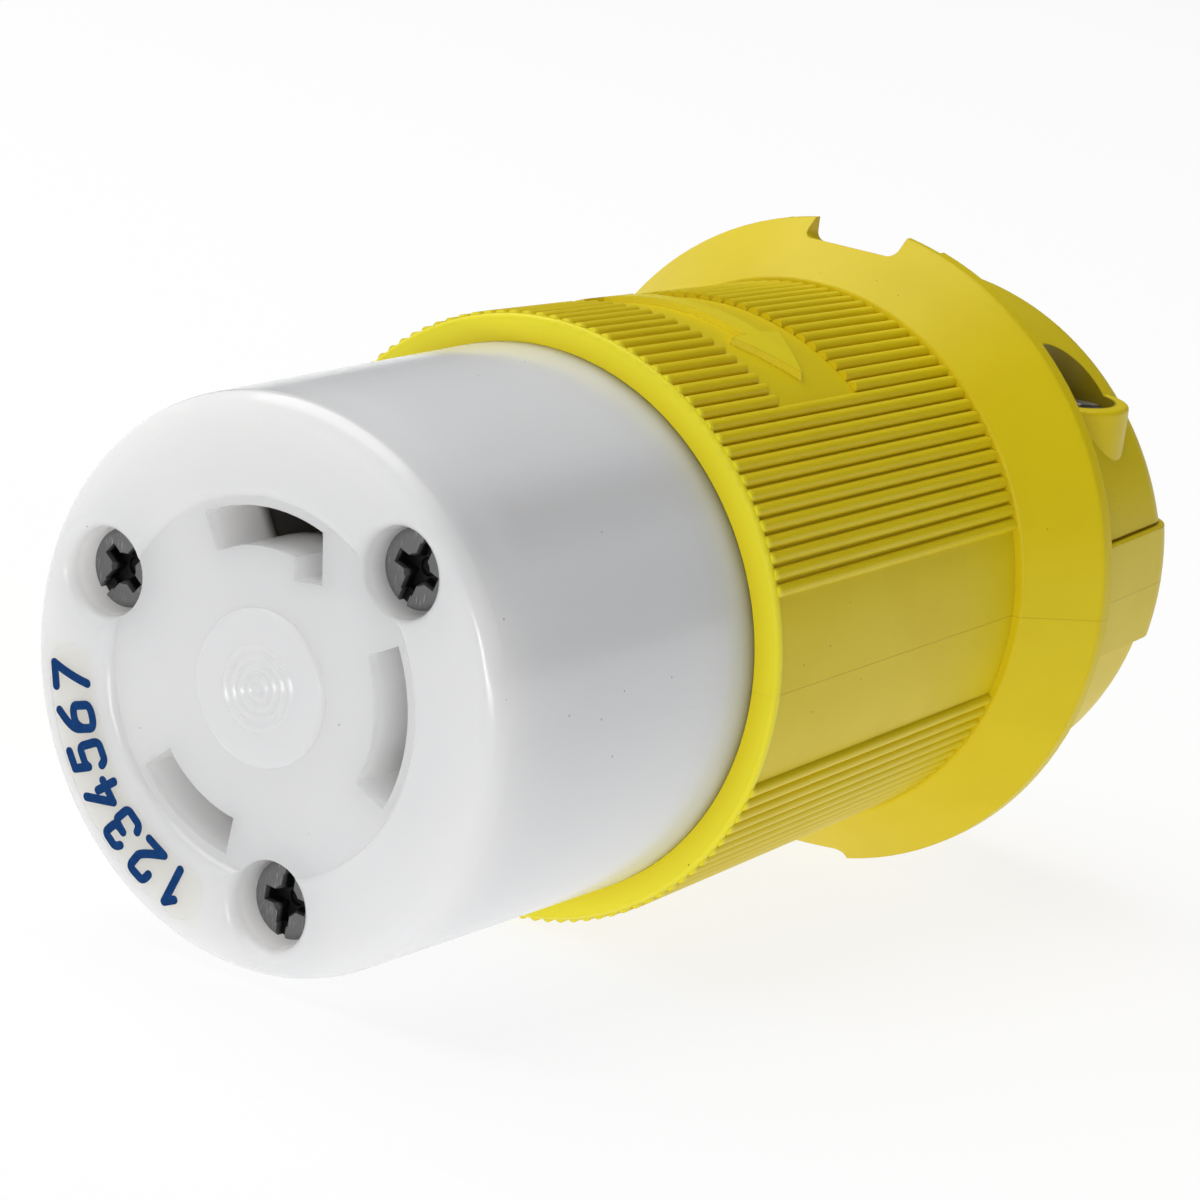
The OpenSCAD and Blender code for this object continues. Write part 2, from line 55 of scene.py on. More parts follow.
face_low, face_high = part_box("face_body")
AXIS_Z = (face_low.z + face_high.z) / 2
FACE_Y = face_low.y
FACE_RADIUS = face_high.x
LIP_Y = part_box("housing")[0].y
SCREW_HEAD_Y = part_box("assembly_screws")[0].y
SCREW_ANGLES = [math.radians(a) for a in (45.5, 162.5, 280)]
PAD_ANGLE = math.radians(222)
PAD_RADIUS = 18.9 * MM
PAD_DEPTH = 0.05 * MM
CLAMP_SCREW_X = 17.65 * MM
CLAMP_SCREW_Y = 41.2 * MM
WELL_RADIUS = 3.65 * MM
LIP_RADIUS = 25.64 * MM
LIP_FOOT_Y = -15.7 * MM
FLANGE_FOOT_Y = 29.9 * MM

# Zones of the finishes. Each is given by where it begins and where it is full.
PAD_WIDTH = (2.7 * MM, 1.5 * MM)
PAD_SPAN = (0.70, 0.60)
PAD_FLOOR = (1.0 * MM, 0.5 * MM)
SIDE_ZONE = (1.0 * MM, 6.0 * MM)
UPPER_ZONE = (6.0 * MM, 19.0 * MM)
WALL_ZONE = (0.8 * MM, 1.8 * MM)
WALL_DEPTH = (1.0 * MM, 2.0 * MM)
CHAMBER_ZONE = (6.5 * MM, 8.5 * MM)
SCREW_WIDTH = (5.0 * MM, 0.0)
SCREW_REACH = (15.0 * MM, 21.0 * MM)
SCREW_ZONE = (4.0 * MM, 9.0 * MM)
RECESS_ZONE = (0.25 * MM, 0.75 * MM)
LIP_ZONE = (1.1 * MM, 0.6 * MM)
LIP_RISE = (0.2 * MM, 1.8 * MM)
LIP_LEAST = 0.6
WELL_EDGE = (0.3 * MM, 0.0)
WHITE_CLOUDS = (0.4, 0.75)
YELLOW_CLOUDS = (0.35, 0.75)
INK_CLOUDS = (0.4, 0.8)
SCRATCHES = (0.56, 0.68)
HANDLING = (0.35, 0.6)

NYLON_IOR = 1.53
BEVEL_SAMPLES = 2
# Painted shade deep in the black screws' driver recesses.
RECESS_SHADE = (0.004, 0.004, 0.004)

KEY_SPOT = Vector((0.5, -0.75, 0.1))
KEY_SIZE = 0.35
TOP_SPOT = Vector((-0.33, 0.0, 0.92))
TOP_SIZE = 1.0
FLOOR_REACH = 3.0
SLOPE_REACH = 0.07
FLOOR_STRENGTH = 1.05
FLAG_REACH = 1.2

# Strokes of the numerals in a cell of height 1. Each runs smoothly from its first point to its last.
STROKES = {
    "1": [[(0.12, 0.78), (0.24, 0.89), (0.36, 1.0)],
          [(0.36, 1.0), (0.36, 0.5), (0.36, 0.0)]],
    "2": [[(0.02, 0.74), (0.02, 1.0), (0.31, 1.0), (0.60, 1.0), (0.60, 0.70), (0.58, 0.46), (0.0, 0.0)],
          [(0.0, 0.0), (0.31, 0.0), (0.62, 0.0)]],
    "3": [[(0.03, 0.84), (0.08, 1.0), (0.30, 1.0), (0.57, 1.0), (0.57, 0.77), (0.57, 0.54), (0.25, 0.54)],
          [(0.25, 0.54), (0.64, 0.54), (0.64, 0.27), (0.64, 0.0), (0.32, 0.0), (0.07, 0.0), (0.0, 0.17)]],
    "4": [[(0.46, 1.0), (0.23, 0.65), (0.0, 0.3)],
          [(0.0, 0.3), (0.32, 0.3), (0.64, 0.3)],
          [(0.47, 0.58), (0.47, 0.29), (0.47, 0.0)]],
    "5": [[(0.57, 1.0), (0.33, 1.0), (0.10, 1.0)],
          [(0.10, 1.0), (0.07, 0.78), (0.05, 0.56)],
          [(0.05, 0.56), (0.14, 0.64), (0.31, 0.64), (0.62, 0.64), (0.62, 0.32),
           (0.62, 0.0), (0.30, 0.0), (0.08, 0.0), (0.0, 0.14)]],
    "6": [[(0.52, 1.0), (0.0, 0.74), (0.0, 0.31), (0.0, 0.0), (0.31, 0.0)],
          [(0.31, 0.0), (0.62, 0.0), (0.62, 0.29), (0.62, 0.58), (0.31, 0.58)],
          [(0.31, 0.58), (0.08, 0.58), (0.01, 0.36)]],
    "7": [[(0.0, 1.0), (0.31, 1.0), (0.62, 1.0)],
          [(0.62, 1.0), (0.34, 0.55), (0.20, 0.0)]],
}
CELL_MIDDLE = Vector((0.31, 0.5))
# Each stroke of a numeral is thinner than the one before by this share, so that no two tops coincide.
LAYER_STEP = 0.2
# Directions of the steps that round off a stroke's ends.
CAP_TURNS = [math.radians(a) for a in (80, 60, 40, 20)]


def rgba(color):
    """A colour with full alpha, as colour sockets take it."""
    return (*color, 1.0)


def color_prop(name, description, default):
    return FloatVectorProperty(
        name=name, description=description, default=default, subtype="COLOR", size=3, min=0, max=1)


def length_prop(name, description, default):
    return FloatProperty(
        name=name, description=description, default=default, unit="LENGTH", precision=5)


def angle_prop(name, description, degrees):
    return FloatProperty(
        name=name, description=description, default=math.radians(degrees), subtype="ANGLE")


def share_prop(name, description, default):
    return FloatProperty(
        name=name, description=description, default=default, subtype="FACTOR", min=0, max=1)


def power_prop(name, description, default):
    return FloatProperty(
        name=name, description=description, default=default, unit="POWER", min=0)


class Wire:
    """An output socket whose arithmetic adds Math nodes to its tree."""

    def __init__(self, shader, socket):
        self.shader = shader
        self.socket = socket

    def math(self, operation, *others):
        return self.shader.node(
            "ShaderNodeMath", {"operation": operation}, dict(enumerate((self, *others))))

    def also(self, name):
        """Another output of the same node."""
        return Wire(self.shader, self.socket.node.outputs[name])

    def __add__(self, other):
        return self.math("ADD", other)

    def __sub__(self, other):
        return self.math("SUBTRACT", other)

    def __rsub__(self, other):
        return self.math("MULTIPLY_ADD", -1.0, other)

    def __mul__(self, other):
        return self.math("MULTIPLY", other)

    def __abs__(self):
        return self.math("ABSOLUTE")

    __radd__ = __add__
    __rmul__ = __mul__


class Shader:
    """The node tree of a material or of the world, filled through node()."""

    def __init__(self, owner):
        owner.use_nodes = True
        self.owner = owner
        self.tree = owner.node_tree
        self.tree.nodes.clear()

    def node(self, kind, settings=None, sockets=None, output=0):
        """A node of that kind, with its settings, and its socket values or links."""
        made = self.tree.nodes.new(kind)
        for name, value in (settings or {}).items():
            setattr(made, name, value)
        for name, value in (sockets or {}).items():
            if isinstance(value, Wire):
                self.tree.links.new(value.socket, made.inputs[name])
            else:
                made.inputs[name].default_value = value
        return Wire(self, made.outputs[output]) if made.outputs else None

    def place(self):
        """Position in the part's own frame, which stays with a piece when it moves."""
        return self.node("ShaderNodeTexCoord", output="Object")

    def axes(self, vector):
        split = self.node("ShaderNodeSeparateXYZ", None, {0: vector})
        return split, split.also("Y"), split.also("Z")

    def ease(self, value, start, end):
        """0 before start and 1 after end, with a soft step between."""
        return self.node(
            "ShaderNodeMapRange", {"interpolation_type": "SMOOTHSTEP"},
            {"Value": value, "From Min": start, "From Max": end})

    def mix(self, a, b, factor):
        return self.node(
            "ShaderNodeMix", {"data_type": "RGBA"}, {0: factor, 6: a, 7: b}, 2)

    def noise(self, place, cell, detail=3.0):
        """Cloudy values about 0.5, with features about one cell wide."""
        return self.node(
            "ShaderNodeTexNoise", None, {"Vector": place, "Scale": 1 / cell, "Detail": detail})

    def specks(self, place, cell, radius):
        """Sparse round dots of unequal size, one to a cell of the given width."""
        gap = self.node("ShaderNodeTexVoronoi", None, {"Vector": place, "Scale": 1 / cell})
        chance = self.node("ShaderNodeSeparateColor", None, {0: gap.also("Color")})
        reach = chance * (radius / cell)
        return self.ease(gap - reach, 0.2 * radius / cell, 0.0)

    def speckle(self, color, place, look):
        """The colour with the look's dark specks."""
        dots = self.specks(place, look.speck_cell, look.speck_radius)
        return self.mix(color, rgba(look.speck_color), dots * look.speck)

    def uneven(self, level, clouds, spread):
        """A level that the clouds vary by the spread."""
        return clouds * spread + (level - spread / 2)

    def bump(self, height, distance, soft_edge):
        """A normal with the given relief on edges that are rounded off by soft_edge."""
        rounded = self.node("ShaderNodeBevel", {"samples": BEVEL_SAMPLES}, {"Radius": soft_edge})
        return self.node(
            "ShaderNodeBump", None,
            {"Strength": 1.0, "Distance": distance, "Height": height, "Normal": rounded})

    def principled(self, sockets):
        surface = self.node("ShaderNodeBsdfPrincipled", None, sockets)
        self.node("ShaderNodeOutputMaterial", None, {"Surface": surface})
        return self.owner


def new_shader(name):
    return Shader(bpy.data.materials.new(name))


def dress(material, *nodes):
    """Gives CAD nodes their finish."""
    for name in nodes:
        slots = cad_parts[name].data.materials
        slots.clear()
        slots.append(material)


def cover_point(angle, y):
    """A point on the housing's tapering cover, under its ribs."""
    front_y, rear_y = -15.6 * MM, 24.0 * MM
    front_radius, rear_radius = 25.1 * MM, 23.8 * MM
    radius = front_radius + (rear_radius - front_radius) * (y - front_y) / (rear_y - front_y)
    return Vector((math.cos(angle) * radius, y, AXIS_Z + math.sin(angle) * radius))


def along(x, up, angle):
    """Distances along a direction around the connector's axis, and across it."""
    cos, sin = math.cos(angle), math.sin(angle)
    return x * cos + up * sin, up * cos - x * sin


def smooth_run(corners, steps=6):
    """Points of a curve that starts and ends at the outer corners and bends round the others."""
    knots = [corners[0], *((a + b) / 2 for a, b in zip(corners[1:-2], corners[2:-1])), corners[-1]]
    points = [corners[0]]
    for start, corner, end in zip(knots, corners[1:-1], knots[1:]):
        for step in range(1, steps + 1):
            t = step / steps
            points.append(start.lerp(corner, t).lerp(corner.lerp(end, t), t))
    return points


def bar_section(middle, side, out, half, low, high, slope):
    """Corners of a bar's cross-section, with its top narrower than its foot by the slope."""
    top = max(half - slope, half * 0.2)
    return [middle + side * half + out * low, middle + side * top + out * high,
            middle - side * top + out * high, middle - side * half + out * low]


def add_bars(context, name, bars, material):
    """One object made of closed bars, each given by its cross-sections in turn."""
    points, faces = [], []
    for sections in bars:
        rings = []
        for section in sections:
            rings.append(range(len(points), len(points) + len(section)))
            points += [point[:] for point in section]
        for a, b in zip(rings, rings[1:]):
            faces += [(a[i - 1], a[i], b[i], b[i - 1]) for i in range(len(a))]
        faces += [tuple(reversed(rings[0])), tuple(rings[-1])]
    mesh = bpy.data.meshes.new(name)
    mesh.from_pydata(points, [], faces)
    mesh.materials.append(material)
    made = bpy.data.objects.new(name, mesh)
    context.scene.collection.objects.link(made)
    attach(made, BODY)
    return made


def white_nylon(look):
    """Semi-gloss white nylon with a warm pad, painted light on the side's top and on the walls of slots
    and pockets, painted shade in the chambers, a painted reflection and shade of the lip at the joint, and
    faint painted shadows of the screws inside.
    """
    shader = new_shader("white_nylon")
    place = shader.place()
    x, y, z = shader.axes(place)
    up, inward = z - AXIS_Z, y - FACE_Y
    radius = (x * x + up * up).math("SQRT")
    ahead, across = along(x, up, PAD_ANGLE)
    turn = abs(across.math("ARCTAN2", ahead))
    pad = (shader.ease(abs(radius - PAD_RADIUS), *PAD_WIDTH) * shader.ease(turn, *PAD_SPAN)
           * shader.ease(inward, *PAD_FLOOR))
    color = shader.mix(rgba(look.color), rgba(look.pad_color), pad * look.pad)
    clouds = shader.noise(place, look.cloud)
    color = shader.mix(color, rgba(look.cool_color), shader.ease(clouds, *WHITE_CLOUDS) * look.drift)
    side = shader.ease(inward, *SIDE_ZONE)
    color = shader.mix(color, rgba(look.cool_color), side * look.cool)
    # Painted light: the side's upper part gets a lighter tone, as the light falls on the top.
    color = shader.mix(color, rgba(look.painted_top_light_color), side * shader.ease(up, *UPPER_ZONE) * look.upper)
    # Painted light on the walls of the slots and pockets, where light passes through the nylon.
    inner = shader.ease(inward, *WALL_ZONE) * shader.ease(FACE_RADIUS - radius, *WALL_DEPTH)
    color = shader.mix(color, rgba(look.painted_wall_light_color), inner)
    # Painted shade deep in the contacts' chambers.
    color = shader.mix(color, rgba(look.chamber_shade_color), inner * shader.ease(inward, *CHAMBER_ZONE))
    # Painted reflection of the yellow lip on the white near the joint, with painted shade.
    joint_reflection_and_shade = shader.ease(y, LIP_Y - look.joint_reflection_and_shade_width, LIP_Y)
    color = shader.mix(color, rgba(look.joint_reflection_and_shade_color), joint_reflection_and_shade * joint_reflection_and_shade * look.joint_reflection_and_shade)
    for angle in SCREW_ANGLES:
        ahead, across = along(x, up, angle)
        seen = (shader.ease(abs(across), *SCREW_WIDTH) * shader.ease(ahead, *SCREW_REACH)
                * shader.ease(inward, *SCREW_ZONE))
        color = shader.mix(color, rgba(look.shade_color), seen * look.shade)
    grain = shader.noise(place, 0.5 * MM, 2.0)
    return shader.principled({
        "Base Color": shader.speckle(color, place, look),
        "Roughness": shader.uneven(look.roughness, clouds, 0.08),
        "IOR": NYLON_IOR,
        "Subsurface Weight": 0.9,
        "Subsurface Radius": (1.0, 0.95, 0.9),
        "Subsurface Scale": look.depth,
        "Normal": shader.bump(grain, 0.004 * MM, look.soft_edge),
    })


def yellow_nylon(name, look, main_color, deep_color):
    """Satin yellow nylon with a mould seam at mid height, painted light in the thin lip, painted shade in
    the clamp screws' wells and dark specks.
    """
    shader = new_shader(name)
    place = shader.place()
    x, y, z = shader.axes(place)
    up = abs(z - AXIS_Z)
    radius = (x * x + up * up).math("SQRT")
    clouds = shader.noise(place, look.cloud)
    color = shader.mix(
        rgba(main_color), rgba(deep_color), shader.ease(clouds, *YELLOW_CLOUDS) * look.drift)
    seam = shader.ease(up, look.seam_width, 0.3 * look.seam_width)
    color = shader.mix(color, rgba(look.seam_color), seam * look.seam)
    # Painted light in the thin lip, where light passes through it; full at its outer edge, less towards
    # the white.
    rise = shader.ease(radius - FACE_RADIUS, *LIP_RISE) * (1 - LIP_LEAST) + LIP_LEAST
    color = shader.mix(color, rgba(look.painted_lip_light_color), shader.ease(y - LIP_Y, *LIP_ZONE) * rise)
    # Painted shade in the clamp screws' wells.
    aside, behind = abs(x) - CLAMP_SCREW_X, y - CLAMP_SCREW_Y
    reach = (aside * aside + behind * behind).math("SQRT")
    color = shader.mix(
        color, rgba(look.well_shade_color), shader.ease(reach - WELL_RADIUS, *WELL_EDGE) * look.well_shade)
    grain = shader.noise(place, 0.35 * MM, 2.0)
    return shader.principled({
        "Base Color": shader.speckle(color, place, look),
        "Roughness": shader.uneven(look.roughness, clouds, 0.1),
        "IOR": NYLON_IOR,
        "Specular IOR Level": 0.22,
        "Normal": shader.bump(grain * 0.4 + seam, 0.02 * MM, look.soft_edge),
    })


def worn_metal(name, color, worn_color, roughness, metallic, worn, shade_y=None):
    """Metal whose colour and gloss vary with handling, with fine scratches. Behind a given depth it has
    painted shade, as deep in a driver recess.
    """
    shader = new_shader(name)
    place = shader.place()
    clouds = shader.noise(place, 1.2 * MM)
    scratches = shader.noise(
        shader.node("ShaderNodeMapping", None, {"Vector": place, "Scale": (1.0, 1.0, 0.12)}),
        0.12 * MM, 2.0)
    wear = shader.ease(scratches, *SCRATCHES) * shader.ease(clouds, *HANDLING)
    base = shader.mix(rgba(color), rgba(worn_color), wear * worn)
    # Painted shade deep in the driver recess, behind the given depth.
    if shade_y is not None:
        _, y, _ = shader.axes(place)
        base = shader.mix(base, rgba(RECESS_SHADE), shader.ease(y - shade_y, *RECESS_ZONE))
    return shader.principled({
        "Base Color": base,
        "Metallic": metallic,
        "Roughness": shader.uneven(roughness, clouds, 0.16),
        "Normal": shader.bump(scratches, 0.006 * MM, 0.12 * MM),
    })


def grey_nylon(look):
    """Dark insulating moulding inside the housing."""
    shader = new_shader("grey_nylon")
    clouds = shader.noise(shader.place(), 3 * MM)
    return shader.principled({
        "Base Color": shader.mix(rgba(look.carrier), rgba(look.carrier_light), clouds),
        "Roughness": shader.uneven(0.5, clouds, 0.1),
        "Normal": shader.bump(clouds, 0.01 * MM, 0.15 * MM),
    })


def blue_ink(look):
    """Printed ink, a little uneven."""
    shader = new_shader("blue_ink")
    clouds = shader.noise(shader.place(), 0.6 * MM)
    thin = shader.ease(clouds, *INK_CLOUDS)
    return shader.principled({
        "Base Color": shader.mix(rgba(look.ink), rgba(look.thin_ink), thin),
        "Roughness": shader.uneven(0.55, clouds, 0.1),
        "Specular IOR Level": 0.08,
    })


class FaceLook(PropertyGroup):
    color: color_prop("White", "Colour of the contact body", (0.82, 0.82, 0.82))
    cool_color: color_prop("Cool white", "Cooler tone that the white drifts to", (0.78, 0.80, 0.83))
    # Painted light: the lighter tone of the side's upper part stands for the light on the top.
    painted_top_light_color: color_prop("Upper white", "Cleaner tone of the side's upper part", (0.92, 0.94, 0.98))
    # Painted light on the walls of the slots and pockets, where light passes through the nylon.
    painted_wall_light_color: color_prop("Inner white", "Colour of the walls in slots and pockets", (0.97, 0.97, 0.97))
    # Painted shade deep in the contacts' chambers.
    chamber_shade_color: color_prop("Chambers", "Colour of the contacts' chambers", (0.20, 0.19, 0.18))
    # Painted reflection of the yellow lip and painted shade on the white near the joint.
    joint_reflection_and_shade_color: color_prop("Joint", "Warm tone that the lip throws on the white", (0.60, 0.48, 0.16))
    joint_reflection_and_shade_width: length_prop("Joint width", "Width of that warm tone", 3 * MM)
    joint_reflection_and_shade: share_prop("Joint share", "How clearly the warm tone shows", 0.6)
    pad_color: color_prop("Pad", "Warm tone of the marking pad", (0.80, 0.79, 0.73))
    pad: share_prop("Pad share", "How clearly the pad's tone shows", 0.8)
    cloud: length_prop("Cloud size", "Size of the drifts in tone", 9 * MM)
    drift: share_prop("Drift", "How far the white drifts to the cool tone", 0.25)
    cool: share_prop("Cool side", "How far the side has the cool tone", 0.6)
    # Share of the painted light on the side's upper part.
    upper: share_prop("Clean top", "How far the side's upper part has the cleaner tone", 0.8)
    shade_color: color_prop("Shade", "Tone of the screws seen through the wall", (0.50, 0.46, 0.42))
    shade: share_prop("Shade share", "How clearly the screws show through", 0.3)
    speck_color: color_prop("Specks", "Colour of the specks in the nylon", (0.22, 0.19, 0.17))
    speck: share_prop("Speck share", "How clearly the specks show", 0.7)
    speck_cell: length_prop("Speck distance", "Typical distance between specks", 2.6 * MM)
    speck_radius: length_prop("Speck radius", "Radius of the largest specks", 0.10 * MM)
    soft_edge: length_prop("Soft edge", "Rounding of the sharp edges", 0.12 * MM)
    depth: length_prop("Depth", "How deep light reaches into the nylon", 12 * MM)
    roughness: share_prop("Roughness", "Roughness of the moulded surface", 0.20)


class HousingLook(PropertyGroup):
    color: color_prop("Yellow", "Colour of the housing", (0.78, 0.615, 0.008))
    deep_color: color_prop("Deep yellow", "Deeper tone that the yellow drifts to", (0.73, 0.565, 0.006))
    cloud: length_prop("Cloud size", "Size of the drifts in tone", 7 * MM)
    drift: share_prop("Drift", "How far the yellow drifts to the deeper tone", 0.5)
    # Painted light in the thin lip, where light passes through it.
    painted_lip_light_color: color_prop("Lip", "Colour of the thin lip, where light passes through", (0.93, 0.82, 0.03))
    seam_color: color_prop("Seam", "Colour of the mould seam", (0.36, 0.26, 0.03))
    seam_width: length_prop("Seam width", "Half width of the mould seam", 0.07 * MM)
    seam: share_prop("Seam share", "How clearly the mould seam shows", 0.2)
    # Painted shade in the clamp screws' wells, with its share.
    well_shade_color: color_prop("Wells", "Colour of the grime in the clamp screws' wells", (0.10, 0.065, 0.004))
    well_shade: share_prop("Wells' grime", "How much grime the wells hold", 0.7)
    speck_color: color_prop("Specks", "Colour of the specks in the nylon", (0.12, 0.08, 0.01))
    speck: share_prop("Speck share", "How clearly the specks show", 0.7)
    speck_cell: length_prop("Speck distance", "Typical distance between specks", 2.8 * MM)
    speck_radius: length_prop("Speck radius", "Radius of the largest specks", 0.09 * MM)
    soft_edge: length_prop("Soft edge", "Rounding of the sharp edges", 0.16 * MM)
    roughness: share_prop("Roughness", "Roughness of the moulded surface", 0.38)


class InsideLook(PropertyGroup):
    black: color_prop("Black screw", "Colour of the black screws", (0.15, 0.15, 0.15))
    black_worn: color_prop("Worn black", "Colour where the black is scratched", (0.42, 0.42, 0.42))
    brass: color_prop("Brass", "Colour of the contacts", (0.72, 0.52, 0.20))
    brass_dull: color_prop("Dull brass", "Colour of tarnished brass", (0.46, 0.30, 0.10))
    steel: color_prop("Steel", "Colour of the plated steel", (0.44, 0.44, 0.43))
    steel_dull: color_prop("Dull steel", "Colour of worn plating", (0.28, 0.275, 0.265))
    green: color_prop("Green screw", "Colour of the ground screw", (0.04, 0.26, 0.10))
    green_worn: color_prop("Worn green", "Colour where the green is scratched", (0.24, 0.42, 0.28))
    carrier: color_prop("Carrier", "Colour of the contact carrier", (0.035, 0.036, 0.04))
    carrier_light: color_prop("Carrier sheen", "Lighter tone of the carrier", (0.055, 0.056, 0.06))


class NumeralLook(PropertyGroup):
    text: StringProperty(name="Text", description="Marks printed on the pad", default="1 2 3 4 5 6 7")
    height: length_prop("Height", "Height of the numerals", 4.0 * MM)
    stroke: length_prop("Stroke", "Width of the strokes", 0.72 * MM)
    narrow: share_prop("Narrowness", "Width of the numerals as a share of their full width", 0.92)
    slant: share_prop("Slant", "How far the numerals lean, as a share of their height", 0.08)
    thickness: length_prop("Thickness", "Thickness of the ink", 0.03 * MM)
    radius: length_prop("Radius", "Distance of the numerals' middles from the axis", PAD_RADIUS)
    first: angle_prop("First", "Direction of the first numeral", 251)
    last: angle_prop("Last", "Direction of the last numeral", 192)
    ink: color_prop("Ink", "Colour of the ink", (0.003, 0.040, 0.16))
    thin_ink: color_prop("Thin ink", "Colour where the ink is thin", (0.006, 0.058, 0.21))


class ArrowLook(PropertyGroup):
    span: angle_prop("Span", "Angle from the arrow's middle to each tip", 31)
    bar_span: angle_prop("Bar span", "Angle from the arrow's middle to each head", 17)
    middle: length_prop("Place", "Place of the arrow along the connector", 2.3 * MM)
    bar: length_prop("Bar", "Half width of the arrow's bar", 1.4 * MM)
    head: length_prop("Head", "Half width of the arrow's heads", 3.8 * MM)
    height: length_prop("Height", "Height of the arrow over the window's floor", 0.6 * MM)
    slope: length_prop("Slope", "Width of the arrow's sloping sides", 0.2 * MM)
    # Painted light: the arrow's lighter colour stands for the light on the raised arrow.
    color: color_prop("Colour", "Colour of the arrow, which handling keeps bright", (0.88, 0.72, 0.015))


class StudioLook(PropertyGroup):
    aim: FloatVectorProperty(
        name="Aim", description="Point that the camera looks at", subtype="TRANSLATION", size=3,
        default=(-4.51 * MM, 1.96 * MM, 26.17 * MM))
    azimuth: angle_prop("Azimuth", "Direction of the camera around the part", 33.63)
    elevation: angle_prop("Elevation", "Height of the camera over the horizon", 15.39)
    roll: angle_prop("Roll", "Turn of the camera about its line of sight", 6.94)
    distance: length_prop("Distance", "Distance of the camera from its aim", 380 * MM)
    lens: FloatProperty(
        name="Lens", description="Focal length on a 36 mm sensor", default=131.55, unit="CAMERA")
    floor_color: color_prop("Floor", "Colour of the floor", (0.92, 0.92, 0.92))
    floor_glow: share_prop("Floor white", "Share of plain white in the floor as the camera sees it", 0.8)
    floor_light: share_prop("Floor light", "Share of plain white in the floor as it lights the part", 0.7)
    ambient: share_prop("Ambient", "Level of the light from all round", 0.48)
    key: power_prop("Key", "Power of the lamp in front of the face", 4.4)
    top: power_prop("Top", "Power of the lamp over the part", 6.4)
    flag_x: length_prop("Right flag", "Distance of the dark card on the right", 450 * MM)
    flag_y: length_prop("Back flag", "Distance of the dark card behind", 900 * MM)
    flag_low: length_prop("Flags' foot", "Height at which the dark cards begin", 60 * MM)
    flag_color: color_prop("Flag colour", "Colour of the dark card", (0.10, 0.10, 0.10))


class CONNECTOR_OT_face(Operator):
    """Finish the white contact body"""
    bl_idname = "connector.face"
    bl_label = "Contact body"

    def execute(self, context):
        dress(white_nylon(context.scene.face_look), "face_body")
        return {"FINISHED"}


class CONNECTOR_OT_housing(Operator):
    """Finish the yellow housing and its cord clamp"""
    bl_idname = "connector.housing"
    bl_label = "Housing and clamp"

    def execute(self, context):
        look = context.scene.housing_look
        dress(yellow_nylon("yellow_nylon", look, look.color, look.deep_color), "housing", "cord_clamp")
        return {"FINISHED"}


class CONNECTOR_OT_inside(Operator):
    """Finish the screws, the contacts and everything that they hold"""
    bl_idname = "connector.inside"
    bl_label = "Screws and contacts"

    def execute(self, context):
        look = context.scene.inside_look
        black = worn_metal("black_screw", look.black, look.black_worn,
                           roughness=0.45, metallic=0.4, worn=0.5, shade_y=SCREW_HEAD_Y)
        steel = worn_metal("plated_steel", look.steel, look.steel_dull,
                           roughness=0.40, metallic=1.0, worn=0.7)
        brass = worn_metal("contact_brass", look.brass, look.brass_dull,
                           roughness=0.28, metallic=1.0, worn=0.6)
        green = worn_metal("green_screw", look.green, look.green_worn,
                           roughness=0.36, metallic=0.5, worn=0.4)
        dress(black, "assembly_screws")
        dress(steel, "line_clamp_x", "line_clamp_y", "ground_clamp", "clamp_screws", "clamp_nuts")
        dress(brass, "line_contact_x", "line_contact_y", "ground_contact", "line_terminal_screws",
              "threaded_inserts")
        dress(green, "ground_terminal_screw")
        dress(grey_nylon(look), "contact_carrier")
        return {"FINISHED"}


class CONNECTOR_OT_numerals(Operator):
    """Print plain numerals on the face's marking pad"""
    bl_idname = "connector.numerals"
    bl_label = "Numerals"

    def execute(self, context):
        look = context.scene.numeral_look
        marks = look.text.split()
        bars = []
        for i, mark in enumerate(marks):
            angle = look.first + (look.last - look.first) * i / (len(marks) - 1)
            bars += [self.stroke(look, angle, corners, (1 - LAYER_STEP * layer) * look.thickness)
                     for layer, corners in enumerate(STROKES[mark])]
        add_bars(context, "numerals", bars, blue_ink(look))
        return {"FINISHED"}

    def stroke(self, look, angle, corners, thickness):
        """Cross-sections of one stroke with round ends, in place on the pad."""
        outward = Vector((math.cos(angle), 0, math.sin(angle)))
        out_of_face = Vector((0, -1, 0))
        rightward = outward.cross(out_of_face)
        spot = outward * look.radius + Vector((0, FACE_Y + PAD_DEPTH, AXIS_Z))
        scale = look.height - look.stroke
        path = []
        for corner in smooth_run([Vector(c) - CELL_MIDDLE for c in corners]):
            across = corner.x * look.narrow + corner.y * look.slant
            path.append(spot + (rightward * across + outward * corner.y) * scale)
        half = look.stroke / 2
        start, end = (path[0] - path[1]).normalized(), (path[-1] - path[-2]).normalized()
        middles = [(path[0] + start * half * math.sin(a), half * math.cos(a)) for a in CAP_TURNS]
        middles += [(point, half) for point in path]
        middles += [(path[-1] + end * half * math.sin(a), half * math.cos(a)) for a in CAP_TURNS[::-1]]
        sections = []
        for i, (middle, reach) in enumerate(middles):
            before, after = middles[max(i - 1, 0)][0], middles[min(i + 1, len(middles) - 1)][0]
            side = out_of_face.cross(after - before).normalized()
            sections.append(bar_section(middle, side, out_of_face, reach, 0, thickness, 0))
        return sections


